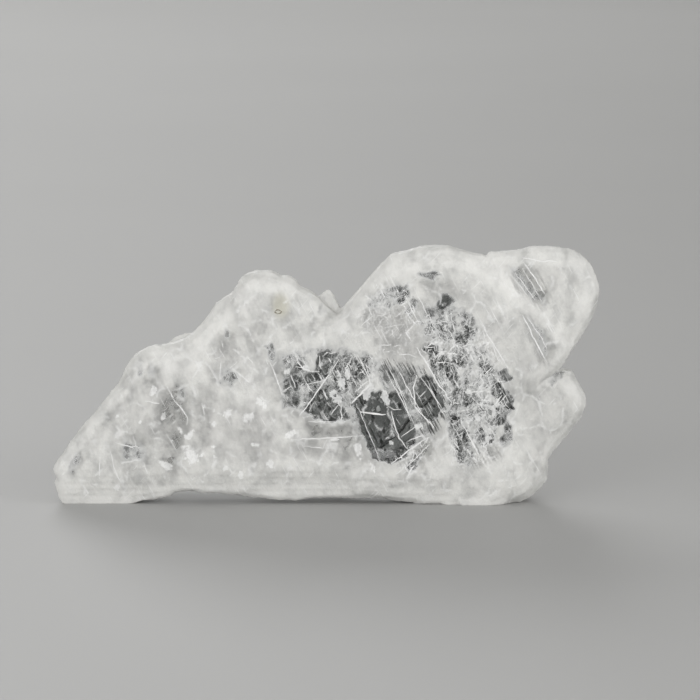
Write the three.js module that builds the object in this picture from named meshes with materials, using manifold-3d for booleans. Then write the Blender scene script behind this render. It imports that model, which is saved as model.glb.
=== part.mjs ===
// A natural selenite slab: clear-to-milky gypsum blades grown together into one solid,
// standing upright on its long lower edge.
// Millimetres, +Z up, +X along the slab, -Y the broad front face, origin under the middle.

import * as THREE from 'three';
import { mergeVertices } from 'three/addons/utils/BufferGeometryUtils.js';
import { ImprovedNoise } from 'three/addons/math/ImprovedNoise.js';
import Module from 'manifold-3d';

// ---- Driving dimensions -------------------------------------------------------------

const WEDGE_WEAR = 1.1;           // how far the wedge's foot is worn off flat
const MAIN_WEAR = 1.8;            // the same for the main blade's foot
const BUMP_WEAR = 0.4;            // and for the blades behind it
const CUT_REACH = 40;             // how far a cutter runs past the stone

const RIM_STEP = 1.8;             // spacing of the points round a blade's edge
const CLOSEST = 0.5 * RIM_STEP;   // nearest that two of those points may be
const CURVE_PARTS = 3;            // straight parts to each stretch of a curve
const CHIP_LENGTH = 4.6;          // length of one flat chip along a broken rim
const CHIP_DEPTH = 0.75;          // how much the chips vary the width of the rim
const PARTING_STEP = 0.6;         // how far each of a blade's sheets is set in behind the last
const PARTING_WAVES = 0.08;       // waves in a parting line, for each mm along the rim
const NORMAL_ROUNDING = 5;        // smoothing passes on the direction that it is set in

// A rim's bevel and the shoulder below it, as shares of the rim's width.
const BEVEL_INSET = 0.4;
const BEVEL_DROP = 0.5;
const SHOULDER_DROP = 1.3;
const THIN_BEVEL = 0.16;          // in a thin blade, as shares of its thickness instead
const THIN_SHOULDER = 0.34;

const RAGGED = 0.24;              // sideways wander of a broken edge
const CLEAN = 0.07;               // the same on a grown crystal edge

// Front and back faces of each blade, measured along Y.
const MAIN = { front: -8.2, back: 6.1 };
const WEDGE = { front: -7.6, back: 6.3 };
const LOBE = { front: -7.3, back: 5.7 };
const EAR = { front: -6.7, back: 5.0 };
const BUMP = { front: -7.2, back: 6.4 };
const TOOTH = { front: -1.8, back: 1.8 };
const SLIVER = { front: 0.6, back: 2.0 };
const BACK_MAIN = { front: 0, back: 7.8 };
const BACK_WEDGE = { front: 0, back: 7.4 };
const BACK_FOOT = { front: 0, back: 7.7 };

// Cleavage directions seen on the broad face, as angles from +X.
const STEEP_CLEAVAGE = THREE.MathUtils.degToRad(-62);
const SLANT_CLEAVAGE = THREE.MathUtils.degToRad(47);
const LEVEL_CLEAVAGE = 0;

const FLATNESS = 0.01;            // faces that are flat to within this are one face
const LEDGE = 0.55;               // height of a main cleavage ledge
const FINE_LEDGE = 0.35;          // height of a small one
const LEDGE_TAPER = 0.12;         // how far a ledge's floor narrows at each end, as a share

const STONE = { color: 0xdcdbd6, roughness: 0.45, metalness: 0 };

// ---- Solids -------------------------------------------------------------------------

const wasm = await Module();
wasm.setup();

const noise = new ImprovedNoise();

/** Turns a closed three.js geometry into a solid that can be joined and cut. */
function solid(geometry) {
  const bare = geometry.clone();
  bare.deleteAttribute('normal');
  bare.deleteAttribute('uv');
  const merged = mergeVertices(bare, 1e-4);
  return new wasm.Manifold(new wasm.Mesh({
    numProp: 3,
    vertProperties: new Float32Array(merged.attributes.position.array),
    triVerts: new Uint32Array(merged.index.array),
    tolerance: FLATNESS,
  }));
}

/** Turns a joined solid back into a flat-shaded geometry. */
function geometryOf(manifold) {
  const mesh = manifold.getMesh();
  const geometry = new THREE.BufferGeometry();
  geometry.setAttribute('position', new THREE.BufferAttribute(mesh.vertProperties, 3));
  geometry.setIndex(new THREE.BufferAttribute(mesh.triVerts, 1));
  return geometry;
}

/** Flat list of x, z pairs to Vector2 points. */
function points(...values) {
  const list = [];
  for (let i = 0; i < values.length; i += 2) {
    list.push(new THREE.Vector2(values[i], values[i + 1]));
  }
  return list;
}

/** Points at even spacing round a shape, wandering a little to either side. */
function edgeLoop(shape, wander, seed) {
  const corners = shape.getPoints(CURVE_PARTS);
  if (corners[0].distanceTo(corners.at(-1)) < 1e-6) corners.pop();
  if (THREE.ShapeUtils.area(corners) < 0) corners.reverse();
  const loop = [];
  corners.forEach((from, i) => {
    const to = corners[(i + 1) % corners.length];
    const steps = Math.max(1, Math.round(from.distanceTo(to) / RIM_STEP));
    for (let k = 0; k < steps; k++) {
      const point = from.clone().lerp(to, k / steps);
      const last = loop.at(-1);
      if (!last || last.distanceTo(point) > CLOSEST) loop.push(point);
    }
  });
  if (loop[0].distanceTo(loop.at(-1)) < CLOSEST) loop.pop();
  const outward = outwardNormals(loop);
  return loop.map((point, i) => {
    const shift = wander * 2 * noise.noise(point.x * 0.9, point.y * 0.9, seed);
    return point.clone().addScaledVector(outward[i], shift);
  });
}

/** The loop with its small corners rounded away, as the inner line of a bevel is. */
function relaxed(loop, passes) {
  const count = loop.length;
  let current = loop;
  for (let pass = 0; pass < passes; pass++) {
    const before = current;
    current = before.map((point, i) => {
      const middle = before[(i + 1) % count].clone().lerp(before[(i + count - 1) % count], 0.5);
      return point.clone().lerp(middle, 0.5);
    });
  }
  return current;
}

/** Unit normals in the plane of a counter-clockwise loop, pointing out of it. */
function outwardNormals(loop) {
  const count = loop.length;
  return loop.map((_, i) => {
    const along = loop[(i + 1) % count].clone().sub(loop[(i + count - 1) % count]);
    return new THREE.Vector2(along.y, -along.x).normalize();
  });
}

/** Flat levels along a sheet's rim, from about -1 to 1, that make it break into chips. */
function chip(distance, sheet, seed) {
  const cell = distance / CHIP_LENGTH;
  const first = Math.floor(cell);
  const level = (k) => 1.6 * noise.noise(k * 3.7 + 0.5, sheet * 2.3 + 2.8, seed * 1.9 + 0.5);
  const along = THREE.MathUtils.smoothstep(cell - first, 0.3, 0.7);
  return THREE.MathUtils.lerp(level(first), level(first + 1), along);
}

/**
 * One tabular blade: a plate with flat front and back faces and a chipped, bevelled rim.
 * It is made of three sheets, and each is set in a little behind the one before it. tilt and
 * backTilt slope the two faces, in mm of Y for each mm of X and Z. parting says where the first
 * sheet ends, as a share of the thickness, and rounding how far the rim's inner line cuts its
 * corners.
 */
function blade(shape, face, {
  rim = 2.2, wander = RAGGED, tilt = [0, 0], backTilt = [0, 0], parting = 0.5, rounding = 8, seed,
}) {
  const loop = edgeLoop(shape, wander, seed);
  const centre = loop.reduce((sum, p) => sum.add(p), new THREE.Vector2()).divideScalar(loop.length);
  const thickness = face.back - face.front;
  const bevel = Math.min(rim * BEVEL_DROP, thickness * THIN_BEVEL);
  const shoulder = Math.min(rim * SHOULDER_DROP, thickness * THIN_SHOULDER);
  const step = Math.min(PARTING_STEP, rim / 4);
  const chipDepth = Math.min(CHIP_DEPTH, rim / 4);
  const seam = face.front + thickness * parting;
  const backSeam = (seam + face.back - bevel) / 2;
  const rings = [
    { sheet: 0, inset: rim, y: face.front },
    { sheet: 0, inset: rim * BEVEL_INSET, y: face.front + bevel },
    { sheet: 0, inset: 0, y: face.front + shoulder },
    { sheet: 0, inset: 0, y: seam },
    { sheet: 1, inset: step, y: seam },
    { sheet: 1, inset: step, y: backSeam },
    { sheet: 2, inset: 2 * step, y: backSeam },
    { sheet: 2, inset: 2 * step + rim * BEVEL_INSET / 2, y: face.back - bevel },
    { sheet: 2, inset: 2 * step + rim * (1 - BEVEL_INSET), y: face.back },
  ];
  const position = [];
  for (const { sheet, inset, y } of rings) {
    const line = relaxed(loop, Math.round(rounding * inset / rim));
    const outward = outwardNormals(relaxed(line, NORMAL_ROUNDING));
    const chipSize = chipDepth * Math.min(1, (inset + sheet * step) / rim);
    const [slopeX, slopeZ] = sheet === 0 ? tilt : backTilt;
    let travelled = 0;
    line.forEach((point, i) => {
      if (i > 0) travelled += point.distanceTo(line[i - 1]);
      const wave = 2 * noise.noise(travelled * PARTING_WAVES, sheet - 0.5, seed);
      const opening = sheet === 0 ? 0 : step * Math.max(-1, wave);
      const inward = inset + opening + chipSize * (1 + chip(travelled, sheet, seed));
      const x = point.x - outward[i].x * inward;
      const z = point.y - outward[i].y * inward;
      position.push(x, y + (x - centre.x) * slopeX + (z - centre.y) * slopeZ, z);
    });
  }
  const geometry = new THREE.BufferGeometry();
  geometry.setAttribute('position', new THREE.Float32BufferAttribute(position, 3));
  geometry.setIndex(ringedFaces(loop.length, rings.length, position));
  return solid(geometry);
}

/** Triangles of stacked rings, closed by a flat cap at each end. */
function ringedFaces(count, ringCount, position) {
  const faces = [];
  for (let r = 0; r + 1 < ringCount; r++) {
    for (let i = 0; i < count; i++) {
      const a = r * count + i;
      const b = r * count + (i + 1) % count;
      faces.push(a, a + count, b);
      faces.push(b, a + count, b + count);
    }
  }
  for (const r of [0, ringCount - 1]) {
    const offset = r * count;
    const cap = [];
    for (let i = 0; i < count; i++) {
      cap.push(new THREE.Vector2(position[3 * (offset + i)], position[3 * (offset + i) + 2]));
    }
    for (const [a, b, c] of THREE.ShapeUtils.triangulateShape(cap, [])) {
      if (r === 0) faces.push(offset + a, offset + b, offset + c);
      else faces.push(offset + a, offset + c, offset + b);
    }
  }
  return faces;
}

/**
 * A straight-sided cutter that sinks a flat floor into a broad face. The floor is at depth y
 * at the point at, and slope is how much Y it gains for each mm of X and Z from there.
 * side is -1 for the front face and 1 for the back one.
 */
function faceCut(side, outline, y, at = [0, 0], slope = [0, 0]) {
  const shape = new THREE.Shape(outline);
  const geometry = new THREE.ExtrudeGeometry(shape, { depth: CUT_REACH, bevelEnabled: false });
  geometry.rotateX(Math.PI / 2);
  if (side > 0) geometry.translate(0, CUT_REACH, 0);
  const position = geometry.attributes.position;
  for (let i = 0; i < position.count; i++) {
    if (Math.abs(position.getY(i)) > 1) continue;
    const rise = (position.getX(i) - at[0]) * slope[0] + (position.getZ(i) - at[1]) * slope[1];
    position.setY(i, y + rise);
  }
  return solid(geometry);
}

/**
 * A cleavage step: a straight ledge through x, z along an angle, whose floor climbs back to
 * the face over the given width. A negative width puts the floor on the other side.
 */
function cleavageStep(side, x, z, angle, length, width, faceY, height) {
  const along = new THREE.Vector2(Math.cos(angle), Math.sin(angle));
  const across = new THREE.Vector2(-along.y, along.x).multiplyScalar(width);
  const from = new THREE.Vector2(x, z).addScaledVector(along, -length / 2);
  const to = new THREE.Vector2(x, z).addScaledVector(along, length / 2);
  const taper = along.clone().multiplyScalar(length * LEDGE_TAPER);
  const outline = [from, to, to.clone().add(across).sub(taper), from.clone().add(across).add(taper)];
  if (THREE.ShapeUtils.area(outline) < 0) outline.reverse();
  const climb = side * height / Math.abs(width);
  const uphill = across.clone().normalize();
  return faceCut(side, outline, faceY - side * height, [x, z], [uphill.x * climb, uphill.y * climb]);
}

/** Planes a flat facet off the stone: a point on the facet, its outward direction, its size. */
function facet(at, facing, length, width) {
  const box = new THREE.BoxGeometry(length, width, CUT_REACH);
  box.translate(0, 0, CUT_REACH / 2);
  const up = new THREE.Vector3(0, 0, 1);
  box.applyMatrix4(new THREE.Matrix4().lookAt(new THREE.Vector3(...facing), new THREE.Vector3(), up));
  box.translate(...at);
  return solid(box);
}

// ---- Outlines, in X and Z -----------------------------------------------------------

/** Long pointed wedge on the left: a straight slanting edge above a blunt tip. */
function wedgeOutline() {
  const shape = new THREE.Shape();
  shape.moveTo(-57.2, -WEDGE_WEAR);
  shape.splineThru(points(-58.8, 1.2, -59.9, 4.7));
  shape.lineTo(-59.4, 5.6);
  shape.lineTo(-60.2, 7.6);
  shape.lineTo(-56.5, 13.3);
  shape.lineTo(-44.9, 27.4);
  shape.splineThru(points(-44.2, 29.9, -41.5, 32.9, -38.6, 34.8, -36.0, 34.8));
  shape.lineTo(-22, 31);
  shape.lineTo(-6, 22);
  shape.lineTo(-8, 1.6);
  shape.lineTo(-16.8, 2.0);
  shape.lineTo(-32.7, 3.1);
  shape.splineThru(points(-34.1, 2.1, -36.1, 1.4, -42.5, 0.3, -45.2, -WEDGE_WEAR));
  return shape;
}

/** Frosted lobe above the wedge, with a lumpy top that falls away to the right. */
function lobeOutline() {
  const shape = new THREE.Shape();
  shape.moveTo(-37.0, 31.8);
  shape.lineTo(-36.1, 34.9);
  shape.splineThru(points(-33.0, 35.6, -30.6, 36.4, -28.2, 38.5));
  shape.lineTo(-22.7, 45.3);
  shape.splineThru(points(-19.9, 46.9, -18.4, 50.0, -14.6, 51.6, -11.8, 51.2, -10.1, 50.1));
  shape.splineThru(points(-8.3, 50.2, -6.9, 49.4, -5.9, 48.1));
  shape.lineTo(-3.0, 46.9);
  shape.lineTo(-1.6, 45.4);
  shape.lineTo(4.5, 40);
  shape.lineTo(6, 28);
  shape.lineTo(-10, 20);
  shape.lineTo(-24, 23);
  shape.lineTo(-33, 26);
  return shape;
}

/** Main blade: straight slanting edge on the left, rounded top, long lower edge. */
function mainOutline() {
  const shape = new THREE.Shape();
  shape.moveTo(3.1, 42.2);
  shape.lineTo(11.4, 52.1);
  shape.lineTo(14.3, 55.0);
  shape.splineThru(points(19.2, 56.2, 21.0, 56.8, 24.0, 57.0, 27.0, 56.9, 31.7, 55.5, 34.7, 55.0));
  shape.lineTo(38.8, 50.9);
  shape.lineTo(46.3, 45.4);
  shape.lineTo(54.4, 35.6);
  shape.splineThru(points(51.5, 30.6, 47.0, 26.1, 44.6, 21.4, 45.4, 16.6, 47.6, 11.6));
  shape.splineThru(points(48.1, 8.0, 47.0, 4.8, 43.6, 1.8, 40.6, 0.5, 37.6, -MAIN_WEAR));
  shape.lineTo(27.0, -MAIN_WEAR);
  shape.splineThru(points(24.4, 0.3, 17.9, 0.5, 13.1, 1.4));
  shape.lineTo(-3.2, 1.5);
  shape.lineTo(-6.7, 0.8);
  shape.lineTo(-11.8, 1.2);
  shape.lineTo(-18.0, 1.8);
  shape.lineTo(-21.0, 4.5);
  shape.lineTo(-20.0, 9.0);
  shape.lineTo(-14.6, 17);
  shape.lineTo(-10.2, 25);
  shape.lineTo(-14.4, 34.8);
  shape.lineTo(-4, 38.5);
  return shape;
}

/** Rounded ear at the upper right, set back behind the main blade. */
function earOutline() {
  const shape = new THREE.Shape();
  shape.moveTo(30, 47);
  shape.lineTo(34.7, 53.9);
  shape.lineTo(35.9, 55.6);
  shape.splineThru(points(42.0, 56.1, 46.5, 57.0, 53.4, 56.3, 57.3, 54.0));
  shape.splineThru(points(59.3, 50.2, 60.0, 46.7, 58.3, 40.9));
  shape.lineTo(55.5, 36.3);
  shape.lineTo(51.2, 30.2);
  shape.lineTo(40, 24);
  shape.lineTo(26, 30);
  return shape;
}

/** Bump at the lower right, behind the main blade's curved edge. */
function bumpOutline() {
  const shape = new THREE.Shape();
  shape.moveTo(40, 28);
  shape.lineTo(50.9, 29.5);
  shape.splineThru(points(53.2, 29.4, 54.6, 28.8, 55.2, 27.3));
  shape.splineThru(points(57.1, 23.4, 56.9, 20.5, 54.0, 16.3));
  shape.lineTo(48.8, 10.0);
  shape.splineThru(points(48.9, 7.5, 48.4, 4.6, 45.0, 1.5, 41.5, 0.1, 38.5, -BUMP_WEAR));
  shape.lineTo(20, -BUMP_WEAR);
  shape.lineTo(14, 8);
  shape.lineTo(24, 22);
  return shape;
}

/** Small pointed tooth standing in the notch between the lobe and the main blade. */
function toothOutline() {
  return new THREE.Shape(points(-3, 43.6, -0.1, 47.1, 0.5, 47.1, 1.3, 46.4, 3.6, 42, 4, 38, -3, 38));
}

/** Thin clear sliver along the lobe's left shoulder. */
function sliverOutline() {
  const shape = new THREE.Shape();
  shape.moveTo(-36.2, 33.4);
  shape.splineThru(points(-33.6, 36.1, -31.2, 37.0, -28.8, 37.2));
  shape.lineTo(-27.0, 34);
  return shape;
}

/** Blade crossing the back from the lower left to the upper right. */
function backMainOutline() {
  const shape = new THREE.Shape();
  shape.moveTo(-18, 3.4);
  shape.lineTo(3, 3.0);
  shape.lineTo(11, 9);
  shape.lineTo(26, 24.6);
  shape.lineTo(40.5, 40.5);
  shape.lineTo(36, 49.6);
  shape.splineThru(points(30, 52.4, 23, 53.6, 16.5, 51.0));
  shape.lineTo(1.5, 36.4);
  shape.lineTo(-8.5, 28);
  shape.lineTo(-11.5, 20);
  shape.lineTo(-20.5, 10.5);
  return shape;
}

/** Lower blade on the back of the wedge. */
function backWedgeOutline() {
  const low = points(-50, 3.4, -27, 4.4, -22, 10, -16.5, 18);
  const high = points(-21, 29, -30.5, 29, -37, 24, -44.5, 14.5, -50.5, 8.5);
  return new THREE.Shape([...low, ...high]);
}

/** Thick block on the back that carries the right foot. */
function backFootOutline() {
  const foot = points(22, -BUMP_WEAR, 41, -BUMP_WEAR, 46.5, 5, 47, 13.5);
  const top = points(42, 20, 36, 25, 27, 17, 20, 8.5);
  return new THREE.Shape([...foot, ...top]);
}

// ---- The stone ----------------------------------------------------------------------

/** All the blades, grown into one another. */
function grownBlades() {
  const worn = [
    [wedgeOutline(), WEDGE, { rim: 2.2, tilt: [-0.01, 0.02], backTilt: [0.04, -0.02], parting: 0.4, seed: 5 }],
    [lobeOutline(), LOBE, { rim: 2.8, tilt: [0.01, 0.02], backTilt: [0, -0.03], seed: 8 }],
    [bumpOutline(), BUMP, { rim: 2.6, tilt: [0.05, 0.01], backTilt: [-0.05, -0.02], seed: 13 }],
  ];
  const grown = [
    [mainOutline(), MAIN, { rim: 2.6, tilt: [0, 0.01], seed: 3 }],
    [earOutline(), EAR, { rim: 2.4, tilt: [0.03, 0.01], backTilt: [-0.02, -0.02], parting: 0.4, seed: 11 }],
    [toothOutline(), TOOTH, { rim: 0.6, seed: 17 }],
    [sliverOutline(), SLIVER, { rim: 0.3, seed: 19 }],
  ];
  const back = [
    [backMainOutline(), BACK_MAIN, { rim: 0.9, backTilt: [0.01, -0.02], seed: 23 }],
    [backWedgeOutline(), BACK_WEDGE, { rim: 0.8, backTilt: [0.02, -0.02], seed: 29 }],
    [backFootOutline(), BACK_FOOT, { rim: 1.1, backTilt: [-0.02, -0.02], seed: 31 }],
  ];
  return [
    ...worn.map(([shape, face, finish]) => blade(shape, face, finish)),
    ...grown.map(([shape, face, finish]) => blade(shape, face, { ...finish, wander: CLEAN })),
    ...back.map(([shape, face, finish]) => blade(shape, face, { ...finish, rounding: 1 })),
  ];
}

/** The sunken floor of the main blade: deepest along its steep right-hand ledge. */
function mainFloor() {
  const low = points(-8, 9, 17, 7.4, 38, 8.4, 42, 24.5);
  const high = points(33, 43, 30, 48.6, 15, 50.2, 3, 37, -7, 26);
  return faceCut(-1, [...low, ...high], MAIN.front + LEDGE, [38, 30], [0.013, 0.004]);
}

/** Small straight ledges of broken cleavage on both broad faces. */
function cleavageSteps() {
  const floorY = MAIN.front + LEDGE * 0.7;
  const front = [
    [22, 22, STEEP_CLEAVAGE, 20, 9, floorY],
    [12, 20, STEEP_CLEAVAGE, 18, -7, floorY],
    [29, 37, STEEP_CLEAVAGE, 15, 6, floorY],
    [0, 17.6, LEVEL_CLEAVAGE, 20, -6, MAIN.front],
    [-2, 32, SLANT_CLEAVAGE, 12, -6, MAIN.front],
    [46, 47, STEEP_CLEAVAGE, 12, 5, EAR.front],
    [51, 21, SLANT_CLEAVAGE, 14, -6, BUMP.front],
    [-29, 17, STEEP_CLEAVAGE, 20, 12, WEDGE.front],
    [-43, 13, SLANT_CLEAVAGE, 24, -11, WEDGE.front],
    [-19, 40, STEEP_CLEAVAGE, 14, -9, LOBE.front],
  ];
  const back = [
    [4, 25, SLANT_CLEAVAGE, 46, 9, BACK_MAIN.back],
    [26, 38, STEEP_CLEAVAGE, 24, -11, BACK_MAIN.back],
    [-7, 12, STEEP_CLEAVAGE, 16, 9, BACK_MAIN.back],
    [-33, 16, SLANT_CLEAVAGE, 28, -10, BACK_WEDGE.back],
    [35, 10, STEEP_CLEAVAGE, 20, 9, BACK_FOOT.back],
    [49, 44, STEEP_CLEAVAGE, 16, 9, EAR.back],
    [-17, 41, SLANT_CLEAVAGE, 15, -9, LOBE.back],
  ];
  return [
    ...front.map((step) => cleavageStep(-1, ...step, FINE_LEDGE)),
    ...back.map((step) => cleavageStep(1, ...step, LEDGE)),
  ];
}

/** Slanting facets along the foot of the front face, each a little steeper than the last. */
function footFacets() {
  const facets = [
    { from: -62, to: -41, top: 7.5, face: WEDGE.front, slope: 0.3 },
    { from: -43, to: -22, top: 8.6, face: WEDGE.front, slope: 0.2 },
    { from: -24, to: 4, top: 8.0, face: MAIN.front, slope: 0.3 },
    { from: 2, to: 27, top: 6.4, face: MAIN.front, slope: 0.24 },
    { from: 24, to: 50, top: 5.0, face: MAIN.front, slope: 0.12 },
  ];
  return facets.map(({ from, to, top, face, slope }) => {
    const lean = top / Math.tan(-STEEP_CLEAVAGE);
    const outline = points(from, top, from + lean, -1, to + lean, -1, to, top);
    return faceCut(-1, outline, face, [0, top], [0, -slope]);
  });
}

/** Broad flat facets along the longer edges. */
function edgeFacets() {
  return [
    facet([-54, WEDGE.front + 1.4, 14], [-0.24, -1, 0.18], 40, 40),
    facet([57, EAR.front + 1.0, 47], [0.24, -1, 0.05], 30, 30),
    facet([24, MAIN.front + 1.5, 55], [0, -1, 0.3], 40, 30),
    facet([-54, WEDGE.back - 1.2, 10], [-0.3, 1, 0.1], 40, 40),
    facet([56, EAR.back - 1.0, 50], [0.3, 1, 0.25], 30, 30),
    facet([54, BUMP.back - 1.6, 12], [0.35, 1, -0.1], 20, 26),
    facet([22, MAIN.back - 2.0, 55.4], [-0.1, 0.8, 0.7], 34, 12),
    facet([-13, LOBE.back - 1.8, 49.4], [0.15, 0.8, 0.7], 16, 10),
    facet([-26, LOBE.back - 2.0, 41.6], [-0.6, 0.8, 0.5], 18, 10),
    facet([-50, WEDGE.back - 2.4, 19.6], [-0.62, 0.75, 0.45], 30, 12),
    facet([57, EAR.back - 2.2, 44], [0.75, 0.7, -0.2], 18, 12),
  ];
}

function slab() {
  let stone = grownBlades().reduce((whole, part) => whole.add(part));
  const cuts = [mainFloor(), ...cleavageSteps(), ...footFacets(), ...edgeFacets()];
  for (const cut of cuts) stone = stone.subtract(cut);
  const floor = new THREE.BoxGeometry(6 * CUT_REACH, 2 * CUT_REACH, CUT_REACH);
  floor.translate(0, 0, -CUT_REACH / 2);
  return stone.subtract(solid(floor));
}

const geometry = geometryOf(slab());
geometry.computeBoundingBox();
const middle = geometry.boundingBox.getCenter(new THREE.Vector3());
geometry.translate(-middle.x, -middle.y, -geometry.boundingBox.min.z);

const selenite = new THREE.Mesh(geometry, new THREE.MeshStandardMaterial(STONE));
selenite.name = 'selenite_slab';

const group = new THREE.Group();
group.add(selenite);

export default group;
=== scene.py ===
# Looks for the selenite slab: a stone that is clear in places and milky in others,
# frosted along its broken edges, with cracks, flakes and white flecks in it.
# Everything is in metres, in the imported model's frame: +X along the slab, -Y its front, +Z up.
# Places on the broad face are written in millimetres as (x, z).

import math
from types import SimpleNamespace

import bmesh
import bpy
import numpy as np
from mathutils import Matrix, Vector
from mathutils.bvhtree import BVHTree
from mathutils.kdtree import KDTree


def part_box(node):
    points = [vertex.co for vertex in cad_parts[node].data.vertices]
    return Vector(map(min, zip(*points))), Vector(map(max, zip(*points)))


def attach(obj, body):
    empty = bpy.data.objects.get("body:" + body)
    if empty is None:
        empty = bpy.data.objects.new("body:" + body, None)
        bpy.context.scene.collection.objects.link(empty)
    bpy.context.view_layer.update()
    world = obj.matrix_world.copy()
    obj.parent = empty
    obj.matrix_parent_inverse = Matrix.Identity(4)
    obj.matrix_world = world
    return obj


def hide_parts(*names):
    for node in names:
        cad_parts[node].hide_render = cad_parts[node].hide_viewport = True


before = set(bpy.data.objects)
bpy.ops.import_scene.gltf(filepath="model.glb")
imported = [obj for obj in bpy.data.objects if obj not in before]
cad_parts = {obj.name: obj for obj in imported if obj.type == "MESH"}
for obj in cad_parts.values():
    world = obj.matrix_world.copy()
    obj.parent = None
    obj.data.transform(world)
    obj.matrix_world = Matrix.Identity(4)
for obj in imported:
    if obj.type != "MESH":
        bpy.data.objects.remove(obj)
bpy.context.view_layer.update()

MM = 0.001
NODE = "selenite_slab"

# ---- The view ----

VIEW_DISTANCE = 0.9
VIEW_ELEVATION = math.radians(9)
VIEW_WIDTH = 0.1545  # what the picture takes in at the stone
SENSOR = 36  # in mm
AIM = Vector((0.00537, 0.0, 0.03356))  # the stone sits left of and below the middle

# ---- The stone ----

VOXEL = 0.42 * MM  # the size of the stone's small faces
CALMING = 20  # rounds of softening on the worn broad faces
OUTWARD = 0.26  # keeps the outline's size when its edges are broken, in mm
FROST = 1.2  # how far the edges' frost reaches onto them, in mm
BROAD = 0.6  # a surface less square to the view counts as an edge
BESIDE = 0.05  # well clear of the front and the back, in metres
REFRACTION = 1.52
WIDER = 0.8  # the windows are larger at the back, in mm
STEEP = math.radians(-62)  # the two cleavages that show on the broad face
SLANT = math.radians(47)

# How the edges break and the broad faces undulate, in mm
SHEET = 1.25  # how thick one layer of a broken edge is
LEDGE_DEPTH = 0.3  # how far the layers are cut back
LUMP_DEPTH = 0.16  # how high the rim's lumps are
TERRACE = 0.05  # how high the steps of cleavage are
SWELL = 0.11
SUNK = 0.13  # sinks the faces, to leave room for the swell
WANDER = 0.75  # how far the places below stray from their outlines
CRAZED_EDGE = 1.5  # how soft the edges of two kinds of place are
STREAKED_EDGE = 1.2

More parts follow.
